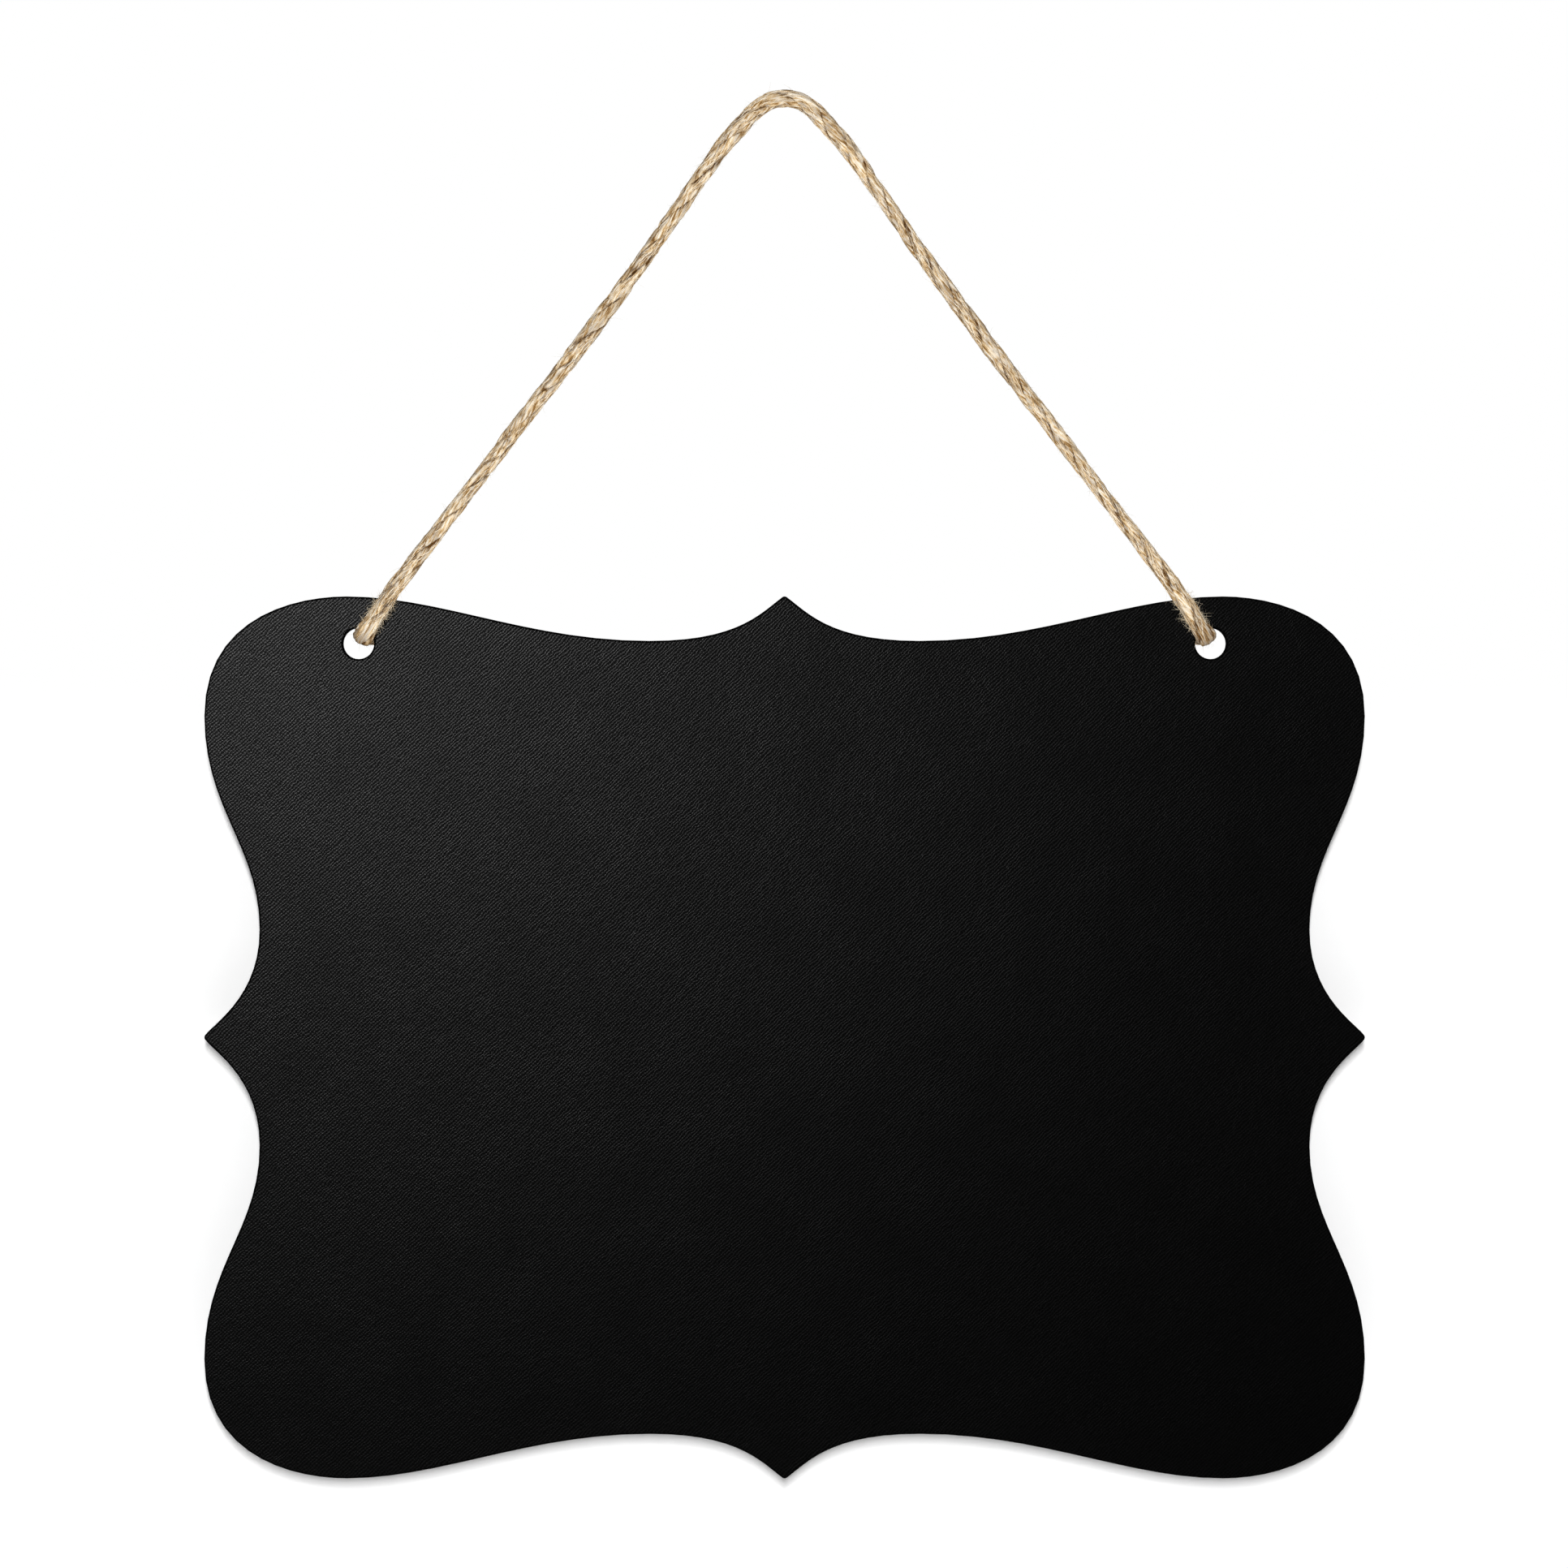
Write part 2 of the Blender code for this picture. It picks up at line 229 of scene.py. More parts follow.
# How the twine is laid: three strands that press each other flat where they meet, each a soft
# roving of jute fibres twisted the other way, so that the fibres lie nearly along the rope.
STRANDS = 3
LAY_LENGTH = 0.030
FIBRE_TWIST_LENGTH = 0.0165
STRAND_PLACE_SHARE = 0.33
STRAND_SIZE_SHARE = 0.662
STRAND_SEAM = 0.00002
# A strand is cut off by planes square to these directions, seen from its outward side
CUT_ANGLE = math.radians(150)
CUT_PLACE_SHARE = math.cos(math.radians(30))
LEAST_FACING = 0.05
# The crown is the part of a strand that shows, with most of its columns
CROWN_ANGLE = math.radians(97)
CROWN_FADE = math.radians(12)
CROWN_COLUMNS = 34
INNER_COLUMNS = 6
# How thick the loop is at places from its top to a hole, as a share of the rope's diameter
SLUB_REACHES = (0.0, 0.017, 0.033, 0.050, 0.066, 0.082, 0.098, 0.114, 0.130, 0.146, 0.159)
SLUB_SIZES = (1.07, 1.12, 0.95, 0.95, 1.00, 1.07, 0.98, 0.99, 0.89, 0.95, 1.04)
# Wear and handling: fluffed out above the hole, drawn thin in it, and fat again at the cut end
WORN_DIAMETER = 0.0050
WORN_LENGTH = 0.016
WORN_EASE = 1.5
# Painted shade and grime where the twine turns into a hole: how dark, and over what length
RIM_SHADE_AND_GRIME = 0.6
RIM_SHADE_LENGTH = 0.0032
BEND_FLATTENING = 0.17
BEND_REACH = 0.0035
DRAW_IN = 0.0024
TAIL_SWELL_LENGTH = 0.008
FRAY_LENGTH = 0.004
FRAY_SHARE = 0.5
PRESS_GAP = 0.00004
# Uneven spinning: how long and how strong each kind of unevenness is, and its own seed
SLUB_LENGTH, SLUB_SHARE, SLUB_SEED = 0.009, 0.08, 21
FILL_LENGTH, FILL_SHARE, FILL_SEED = 0.0035, 0.26, 31
WANDER_LENGTH, WANDER_TURN, WANDER_SEED = 0.017, 0.45, 11
# Ridges of fibres on each strand: their width, length and seed, how high they stand, and the room
# left for the bundles that cover them
BUNDLE_COVER = 0.0001
BUNDLE_RIDGES = (0.00085, 0.0055, 5)
YARN_RIDGES = (0.00042, 0.0026, 6)
BUNDLE_RELIEF, YARN_RELIEF = 0.00030, 0.00018
RELIEF_MIDDLE = 0.4
NEXT_STRAND = 31.7
# Where painted shade darkens the twine: in the lay from this depth on, and in the creases between
# ridges
GROOVE_START, GROOVE_RANGE = 0.10, 0.12
CREASE_LEVEL, CREASE_RANGE = 1.15, 0.45
CREASE_BUNDLE_SHARE, CREASE_YARN_SHARE = 0.6, 0.4
# Tones follow the fibres: millimetres across them, and fewer of these along them
FIBRE_STRETCH = 0.16
NEXT_STRAND_TONE = 7.3
MILLIMETRES = 1000
NOISE_VALUES = 8192
CELL_KEYS = (73856093, 19349663, 83492791)

board_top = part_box("board_core")[1].z


def value_noise(places, seed):
    """Smooth noise from -1 to 1: random values at whole-number places, eased between them."""
    table = np.random.default_rng(seed).uniform(-1, 1, NOISE_VALUES)
    whole = np.floor(places).astype(np.int64)
    part = places - whole
    part = part * part * (3 - 2 * part)
    total = np.zeros(places.shape[:-1])
    for corner_step in np.ndindex(2, 2, 2):
        key = np.bitwise_xor.reduce((whole + corner_step) * CELL_KEYS, axis=-1)
        share = np.prod(np.where(corner_step, part, 1 - part), axis=-1)
        total += share * table[key % NOISE_VALUES]
    return total


def noise_along(reach, length, seed):
    """Smooth noise that changes along the rope alone, once in about the given length."""
    return value_noise(np.stack((reach / length, 0 * reach, 0 * reach), axis=-1), seed)


def carried_frames(path):
    """The direction along the path and two square to it, carried out from its middle untwisted.

    Each row's side is the last row's, less its part along the path, at unit length.
    """
    ahead = np.gradient(path, axis=0)
    ahead /= np.linalg.norm(ahead, axis=1)[:, None]
    side = np.empty_like(path)
    middle = len(path) // 2
    side[middle] = (0, 1, 0)
    for step, last in ((1, len(path)), (-1, -1)):
        for i in range(middle + step, last, step):
            turned_side = side[i - step] - np.dot(side[i - step], ahead[i]) * ahead[i]
            side[i] = turned_side / np.linalg.norm(turned_side)
    return ahead, side, np.cross(ahead, side)


def rope_radius(reach):
    """Thick and thin on the loop, fluffed out near the hole, drawn down in the hole and the knot.

    The loop's diameter runs straight from each measured place to the next. From one diameter to
    another it goes by a share of 0 to 1 along a length. The cut end swells back to full size.
    """
    beyond = np.abs(reach)
    worn = np.clip((beyond - hole_reach + WORN_LENGTH) / WORN_LENGTH, 0, 1) ** WORN_EASE
    loop_diameter = ROPE_DIAMETER * np.interp(beyond, SLUB_REACHES, SLUB_SIZES)
    outside = loop_diameter + (WORN_DIAMETER - loop_diameter) * worn
    tight = np.clip((beyond - hole_reach) / DRAW_IN, 0, 1)
    swell = np.clip((beyond - half_reach + TAIL_SWELL_LENGTH) / TAIL_SWELL_LENGTH, 0, 1)
    drawn = TIGHT_DIAMETER + (ROPE_DIAMETER - TIGHT_DIAMETER) * swell
    return (outside + (drawn - outside) * tight) / 2


def rim_shade_and_grime(reach):
    """Painted shade, and grime, where the twine turns and rubs on a hole's rim: a bell along it,
    centred there.
    """
    return RIM_SHADE_AND_GRIME * np.exp(-(((np.abs(reach) - hole_reach) / RIM_SHADE_LENGTH) ** 2))


def flatten_bend(offsets, reach, side, up):
    """Where the twine bends over the hole's rim, its section spreads sideways and thins.

    A share of each offset's part across the bend is added, and as much of its part into the bend
    is taken away. The share is a bell along the rope, centred just before the hole.
    """
    off_bend = (np.abs(reach) - hole_reach + BEND_REACH / 4) / BEND_REACH
    share = BEND_FLATTENING * np.exp(-off_bend**2)[..., None]
    wide = (offsets * up).sum(axis=-1, keepdims=True) * up
    thick = (offsets * side).sum(axis=-1, keepdims=True) * side
    return offsets + share * (wide - thick)


def press_on_board(points):
    """The soft twine gives way to the board's face, and to the wall of its hole.

    A point past the face is put back on it, and a point past the wall is drawn towards the hole's
    axis until it lies just inside.
    """
    across = points[..., 0] - np.sign(points[..., 0]) * HOLE_X
    up = points[..., 2] - HOLE_Z
    from_axis = np.hypot(across, up)
    pressed = points.copy()
    over = points[..., 2] < board_top
    before = points[..., 1] < (board_front + board_back) / 2
    face = board_front - PRESS_GAP
    on_face = over & before & (from_axis > HOLE_RADIUS)
    pressed[..., 1] = np.where(on_face, np.minimum(points[..., 1], face), points[..., 1])
    in_hole = over & (pressed[..., 1] > face) & (points[..., 1] < board_back)
    in_hole &= from_axis < 2 * HOLE_RADIUS
    inside = np.minimum(1, (HOLE_RADIUS - PRESS_GAP) / np.maximum(from_axis, 1e-9))
    give = np.where(in_hole, inside, 1)
    pressed[..., 0] += across * (give - 1)
    pressed[..., 2] += up * (give - 1)
    return pressed


def ridges(across, along, strand, width, length, seed):
    """Creased noise in cells that are long along the fibres: a smooth noise without its sign."""
    cells = np.concatenate((across / width, along / length), axis=-1) + NEXT_STRAND * strand
    return np.abs(value_noise(cells, seed))


def lay_strand(strand, path, reach, frames):
    """One strand's surface, on a grid of rows along the rope by columns round the strand.

    Its centre winds round the rope's line, and its section is a circle cut off by the two planes
    where it meets its neighbours. Creased noise, long along the fibres, raises the bundles.
    """
    ahead, side, up = frames
    crown = np.linspace(-CROWN_ANGLE, CROWN_ANGLE, CROWN_COLUMNS)
    inner = np.linspace(CROWN_ANGLE, math.tau - CROWN_ANGLE, INNER_COLUMNS + 2)[1:-1]
    angle = np.concatenate((crown, inner))[None]
    turn = math.tau * (strand / STRANDS + reach / LAY_LENGTH)
    turn += WANDER_TURN * noise_along(reach, WANDER_LENGTH, WANDER_SEED)
    outward = np.cos(turn)[:, None] * side + np.sin(turn)[:, None] * up
    sideways = np.cos(turn)[:, None] * up - np.sin(turn)[:, None] * side
    fray = np.clip((np.abs(reach) - half_reach) / FRAY_LENGTH + 1, 0, 1) ** 2
    full = rope_radius(reach) - BUNDLE_COVER
    place = full * STRAND_PLACE_SHARE * (1 + FRAY_SHARE * fray)
    slub = SLUB_SHARE * noise_along(reach, SLUB_LENGTH, SLUB_SEED + strand)
    size = full * STRAND_SIZE_SHARE * (1 + slub)
    fill = FILL_SHARE * np.clip(0.5 + noise_along(reach, FILL_LENGTH, FILL_SEED + strand), 0, 1)
    size = size[:, None] * (1 + fill[:, None] * np.sin(angle) ** 2)
    facing = np.cos(np.abs((angle + math.pi) % math.tau - math.pi) - CUT_ANGLE)
    flat = CUT_PLACE_SHARE * place[:, None] / np.maximum(facing, LEAST_FACING) - STRAND_SEAM
    fibre_angle = angle + math.tau * reach[:, None] / FIBRE_TWIST_LENGTH
    mean_size = ROPE_DIAMETER / 2 * STRAND_SIZE_SHARE
    across = np.stack((np.cos(fibre_angle), np.sin(fibre_angle)), axis=-1) * mean_size
    along = np.broadcast_to(reach[:, None], fibre_angle.shape)[..., None]
    bundle = ridges(across, along, strand, *BUNDLE_RIDGES)
    yarn = ridges(across, along, strand, *YARN_RIDGES)
    visible = np.clip((CROWN_ANGLE - np.abs(angle)) / CROWN_FADE, 0, 1)
    relief = BUNDLE_RELIEF * (bundle - RELIEF_MIDDLE) + YARN_RELIEF * (yarn - RELIEF_MIDDLE)
    radius = np.minimum(size, flat) + visible * relief
    out = place[:, None] + radius * np.cos(angle)
    off = radius * np.sin(angle)
    offsets = out[..., None] * outward[:, None] + off[..., None] * sideways[:, None]
    offsets = flatten_bend(offsets, reach[:, None], side[:, None], up[:, None])
    points = press_on_board(path[:, None] + offsets)
    # Painted shade: dark deep in the lay and in the creases between the ridges, and at a hole's rim
    depth = 1 - np.hypot(out, off) / full[:, None]
    groove = np.clip((depth - GROOVE_START) / GROOVE_RANGE, 0, 1)
    ridge = CREASE_BUNDLE_SHARE * bundle + CREASE_YARN_SHARE * yarn
    crease = np.clip(CREASE_LEVEL - ridge / CREASE_RANGE + rim_shade_and_grime(reach)[:, None], 0, 1)
    fibre_place = np.concatenate((across, along * FIBRE_STRETCH), axis=-1) * MILLIMETRES
    return points, groove, crease, fibre_place + NEXT_STRAND_TONE * strand


def tube_faces(rows, columns, first):
    """Quads of a closed tube, whose vertices run round each row, and the fans that close its ends.

    Each quad joins a vertex and the next round its row to the same two of the next row.
    """
    index = first + np.arange(rows * columns).reshape(rows, columns)
    near, far = index[:-1], index[1:]
    quads = np.stack((near, np.roll(near, -1, 1), np.roll(far, -1, 1), far), axis=-1).reshape(-1, 4)
    first_pole = first + rows * columns
    start = np.stack((np.full(columns, first_pole), np.roll(index[0], -1), index[0]), axis=-1)
    end = np.stack((np.full(columns, first_pole + 1), index[-1], np.roll(index[-1], -1)), axis=-1)
    return quads.tolist() + start.tolist() + end.tolist()


def make_piece(name, vertices, faces, attributes, material):
    """A smooth mesh object at the origin, with its own values at each vertex."""
    mesh = bpy.data.meshes.new(name)
    mesh.from_pydata(vertices, [], faces)
    for label, values in attributes.items():
        kind = "FLOAT_VECTOR" if values.ndim == 2 else "FLOAT"
        field = "vector" if values.ndim == 2 else "value"
        layer = mesh.attributes.new(label, kind, "POINT")
        layer.data.foreach_set(field, values.astype(np.float32).ravel())
    mesh.shade_smooth()
    mesh.materials.append(material)
    piece = bpy.data.objects.new(name, mesh)
    bpy.context.scene.collection.objects.link(piece)
    return piece


def make_twine(name, rows, material):
    """The three strands along some rows of the rope, each a closed tube."""
    vertices, faces, layers, first = [], [], [], 0
    frames = [part[rows] for part in rope_frames]
    for strand in range(STRANDS):
        points, *fields = lay_strand(strand, rope_path[rows], rope_reach[rows], frames)
        count, columns = points.shape[:2]
        poles = points[[0, -1]].mean(axis=1)
        vertices.append(np.vstack((points.reshape(-1, 3), poles)))
        flat_fields = []
        for field in fields:
            ends = field[[0, -1]].mean(axis=1)
            flat_fields.append(np.concatenate((field.reshape(-1, *field.shape[2:]), ends)))
        layers.append(flat_fields)
        faces += tube_faces(count, columns, first)
        first += count * columns + 2
    groove, crease, fibre_place = (np.concatenate(part) for part in zip(*layers))
    attributes = {"groove": groove, "crease": crease, "fibre_place": fibre_place}
    return make_piece(name, np.vstack(vertices), faces, attributes, material)


def linear(code):
    """A hex colour as linear light: each sRGB part follows the standard curve."""
    parts = np.array([int(code[i:i + 2], 16) for i in (0, 2, 4)]) / 255
    light = np.where(parts <= 0.04045, parts / 12.92, ((parts + 0.055) / 1.055) ** 2.4)
    return (*light.tolist(), 1)


def add_node(tree, kind, inputs, **settings):
    """A node with its settings: an input is linked if it is a node's socket, and set if not."""
    node = tree.nodes.new(kind)
    for name, value in settings.items():
        setattr(node, name, value)
    for place, value in inputs.items():
        if isinstance(value, bpy.types.NodeSocket):
            tree.links.new(value, node.inputs[place])
        else:
            node.inputs[place].default_value = value
    return node


# Natural jute, retted, spun and unbleached: dull straw fibres, brown flecks, painted shade in the
# lay.
# It is matte, and its tones change in streaks: scale per millimetre, detail and strength of each.
FIBRE_TONES = (
    (0.26, "8E693B"), (0.40, "C9A675"), (0.48, "E0C397"), (0.57, "F2DAB4"), (0.72, "FBEFDB"),
)
# The dark brown that the painted shade brings in the lay, the creases and at the rims
PAINTED_SHADE_TONE = "5E3F1E"
# The coarsest are wider than any real fibre, so that they show from where the sign is looked at.
TONE_STREAKS = ((1.1, 1.0, 0.55), (2.4, 1.0, 1.35), (6.5, 2.0, 0.5))
TONE_START = -0.635
CREASE_SHADE = 0.6
GROOVE_SHADE = 0.8


def make_jute():
    """Jute twine: the sum of three streaky noises picks its tone, and painted shade darkens it in
    grooves and creases.
    """
    material = bpy.data.materials.new("natural_jute_twine")
    material.use_nodes = True
    tree = material.node_tree
    shader = tree.nodes["Principled BSDF"]
    shader.inputs["Roughness"].default_value = 0.9
    shader.inputs["Specular IOR Level"].default_value = 0.06
    place, groove, crease = (
        add_node(tree, "ShaderNodeAttribute", {}, attribute_name=label).outputs[socket]
        for label, socket in (("fibre_place", "Vector"), ("groove", "Fac"), ("crease", "Fac"))
    )
    tone = TONE_START
    for scale, detail, share in TONE_STREAKS:
        noise = add_node(
            tree, "ShaderNodeTexNoise", {"Vector": place, "Scale": scale, "Detail": detail}
        ).outputs["Fac"]
        tone = add_node(
            tree, "ShaderNodeMath", {0: noise, 1: share, 2: tone}, operation="MULTIPLY_ADD"
        ).outputs[0]
    ramp = add_node(tree, "ShaderNodeValToRGB", {"Fac": tone})
    stops = ramp.color_ramp.elements
    for stop, (position, code) in zip((stops[0], stops[1]), (FIBRE_TONES[0], FIBRE_TONES[-1])):
        stop.position = position
        stop.color = linear(code)
    for position, code in FIBRE_TONES[1:-1]:
        stops.new(position).color = linear(code)
    shade = add_node(
        tree, "ShaderNodeMath", {0: crease, 1: CREASE_SHADE}, operation="MULTIPLY"
    ).outputs[0]
    shade = add_node(
        tree,
        "ShaderNodeMath",
        {0: groove, 1: GROOVE_SHADE, 2: shade},
        operation="MULTIPLY_ADD",
        use_clamp=True,
    ).outputs[0]
    colour = add_node(
        tree,
        "ShaderNodeMix",
        {0: shade, 6: ramp.outputs["Color"], 7: linear(PAINTED_SHADE_TONE)},
        data_type="RGBA",
    ).outputs[2]
    tree.links.new(colour, shader.inputs["Base Color"])
    bump = add_node(
        tree, "ShaderNodeBump", {"Height": tone, "Strength": 0.7, "Distance": 0.0002}
    ).outputs["Normal"]
    tree.links.new(bump, shader.inputs["Normal"])
    return material


jute = make_jute()
rope_frames = carried_frames(rope_path)
rope_rows = np.flatnonzero(np.abs(rope_reach) <= hole_reach)
left_rows = np.arange(0, rope_rows[0] + 1)
right_rows = np.arange(rope_rows[-1], len(rope_path))
rope = make_twine("rope_loop", rope_rows, jute)
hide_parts("hanging_rope")
for name, rows in (("left", left_rows), ("right", right_rows)):
    knot = make_twine(f"rope_end_{name}", rows, jute)
    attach(knot, "board")
    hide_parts(f"{name}_knot")


# The twine's skin. Coarse bundles of fibres that lie over the strands, bridge their grooves here
# and there and dive back in, finer loose ends that stand off as fuzz, most of all where the twine
# chafes on the board, and a brush of fibres at each cut end.
BUNDLES_PER_METRE = 6800
BUNDLE_LENGTHS = (0.0040, 0.0110)
BUNDLE_RADII = (0.00011, 0.00026)
BUNDLE_TAPER = 0.55
BUNDLE_LEAN = math.radians(10)
BUNDLE_LEAN_SPREAD = math.radians(7)
BUNDLE_WAVE = 0.00016
BUNDLE_WAVE_LENGTH = 0.0035
BUNDLE_BRIDGE = 0.9
BUNDLE_BRIDGE_RARITY = 3
BUNDLE_DIVE = 0.00035
BUNDLE_SINK = 0.25
BUNDLE_STEPS = 8
# A bundle is darkened by painted shade below this share of the rope's radius, and this share of
# them is painted dark all over, as shade in the gaps between the strands that show through
SUNK_FROM, SUNK_RANGE = 0.90, 0.14
SHADED_GAP_SHARE = 0.20
GAP_SHADE = 0.85
TONE_SPREAD = 0.35
# Loose hairs, about as thick as a real fibre. Those that chafe off by the holes and the cut ends'
# brushes are drawn about twice as thick, so that they show.
HAIRS_PER_METRE = 4000
HAIR_LENGTHS = (0.0006, 0.0024)
HAIR_LENGTH_RARITY = 2.5
HAIR_RADIUS = 0.000036
TUFT_RADIUS = 0.000062
HAIR_TAPER = 0.8
HAIR_STEPS = 4
HAIR_LIFTS = (0.15, 0.75)
HAIR_BEND = 0.35
HAIR_ROOT_SHARE = 0.93
CHAFED_HAIRS = 460
CHAFED_LENGTH = 0.014
CHAFED_END = 0.0045
CHAFED_REACH = 0.0019
CHAFED_LIFTS = (0.5, 0.95)
BRUSH_HAIRS = 160
BRUSH_LENGTHS = (0.0015, 0.0045)
BRUSH_SPREAD = 0.45
BRUSH_ROOT = 0.0006
TUBE_SIDES = 3
TUBE_FLATNESS = 0.65


def tube_mesh(centres, radii, fronts):
    """Thin closed tubes round rows of centres, with their radii and a way to face.

    Each ring is a flattened circle: a cosine across the tube and a smaller sine towards its front.
    """
    ahead = np.gradient(centres, axis=1)
    across = np.cross(ahead, fronts[:, None])
    across /= np.maximum(np.linalg.norm(across, axis=2), 1e-12)[..., None]
    second = np.cross(ahead, across)
    second /= np.maximum(np.linalg.norm(second, axis=2), 1e-12)[..., None]
    angle = math.tau * np.arange(TUBE_SIDES) / TUBE_SIDES
    ring = (
        np.cos(angle)[:, None] * across[:, :, None]
        + TUBE_FLATNESS * np.sin(angle)[:, None] * second[:, :, None]
    )
    vertices = centres[:, :, None] + radii[:, :, None, None] * ring
    count, rows = radii.shape
    size = rows * TUBE_SIDES
    near = np.arange(rows - 1)[:, None] * TUBE_SIDES + np.arange(TUBE_SIDES)
    along = np.arange(rows - 1)[:, None] * TUBE_SIDES + (np.arange(TUBE_SIDES) + 1) % TUBE_SIDES
    quads = np.stack((near, along, along + TUBE_SIDES, near + TUBE_SIDES), axis=-1).reshape(-1, 4)
    tips = np.array(((0, 2, 1), (size - 3, size - 2, size - 1)))
    starts = size * np.arange(count)[:, None, None]
    faces = (quads + starts).reshape(-1, 4).tolist() + (tips + starts).reshape(-1, 3).tolist()
    return vertices, faces


def at_reach(reach):
    """The path's points and its two side directions at any places, straight between its rows."""
    place = (reach - rope_reach[0]) / (rope_reach[1] - rope_reach[0])
    row = np.clip(place.astype(int), 0, len(rope_path) - 2)
    part = np.clip(place - row, 0, 1)[..., None]
    return [
        (1 - part) * values[row] + part * values[row + 1]
        for values in (rope_path, rope_frames[1], rope_frames[2])
    ]


def surface_radius(reach, angle):
    """How far the laid strands reach from the rope's line, at an angle round it.

    That is where a ray at the angle leaves the circle of the strand next to it.
    """
    turn = math.tau * reach / LAY_LENGTH
    turn += WANDER_TURN * noise_along(reach, WANDER_LENGTH, WANDER_SEED)
    third = math.tau / STRANDS
    off = (angle - turn + third / 2) % third - third / 2
    full = rope_radius(reach) - BUNDLE_COVER
    place = full * STRAND_PLACE_SHARE
    size = full * STRAND_SIZE_SHARE
    return place * np.cos(off) + np.sqrt(size**2 - (place * np.sin(off)) ** 2)


def make_bundles(name, rows, seed):
    """Bundles of fibres laid over the strands, with tones that run on from one to the next.

    Each runs at a slight lean round the rope with a sine on top. It lies between the strands'
    surface and the rope's full radius, and dives in at its ends by the fourth power.
    """
    draw = np.random.default_rng(seed)
    first, last = rope_reach[rows[0]], rope_reach[rows[-1]]
    count = int((last - first) * BUNDLES_PER_METRE)
    length = draw.uniform(*BUNDLE_LENGTHS, (count, 1))
    t = np.linspace(-1, 1, BUNDLE_STEPS + 1)[None]
    middle = first + length / 2 + (last - first - length) * draw.random((count, 1))
    along = length * t / 2
    reach = middle + along
    lean = np.tan(draw.normal(BUNDLE_LEAN, BUNDLE_LEAN_SPREAD, (count, 1)))
    wave = np.sin(math.tau * (along / BUNDLE_WAVE_LENGTH + draw.random((count, 1)))) * BUNDLE_WAVE
    around = draw.uniform(0, math.tau, (count, 1)) + (along * lean + wave) / (ROPE_DIAMETER / 2)
    local = surface_radius(reach, around)
    full = rope_radius(reach) - BUNDLE_COVER
    bridge = BUNDLE_BRIDGE * draw.random((count, 1)) ** BUNDLE_BRIDGE_RARITY
    thick = draw.uniform(*BUNDLE_RADII, (count, 1)) * (1 - BUNDLE_TAPER * t**2)
    away = local + bridge * (full - local) - BUNDLE_DIVE * t**4 - BUNDLE_SINK * thick
    path, side, up = at_reach(reach)
    outward = np.cos(around)[..., None] * side + np.sin(around)[..., None] * up
    centres = path + flatten_bend(away[..., None] * outward, reach, side, up)
    vertices, faces = tube_mesh(centres, thick, outward[:, BUNDLE_STEPS // 2])
    vertices = press_on_board(vertices)
    shape = vertices.shape[:3]
    # Painted shade: bundles that sink into the lay darken, and a share is dark all over as shaded
    # gaps
    groove = np.clip((SUNK_FROM - away / full) / SUNK_RANGE, 0, 1)
    groove = np.maximum(groove, np.where(draw.random((count, 1)) < SHADED_GAP_SHARE, GAP_SHADE, 0))
    groove = np.broadcast_to(groove[..., None], shape)
    round_rope = (around[:, BUNDLE_STEPS // 2] * ROPE_DIAMETER / 2)[:, None, None]
    place = np.zeros((*shape, 3))
    place[..., 0] = (round_rope + np.arange(TUBE_SIDES) * thick[..., None]) * MILLIMETRES
    place[..., 1] = draw.normal(0, TONE_SPREAD, (count, 1, 1))
    place[..., 2] = reach[..., None] * FIBRE_STRETCH * MILLIMETRES
    fields = {
        "groove": groove.ravel(),
        # painted shade and grime at a hole's rim
        "crease": np.broadcast_to(rim_shade_and_grime(reach)[..., None], shape).ravel(),
        "fibre_place": place.reshape(-1, 3),
    }
    return make_piece(name, vertices.reshape(-1, 3), faces, fields, jute)


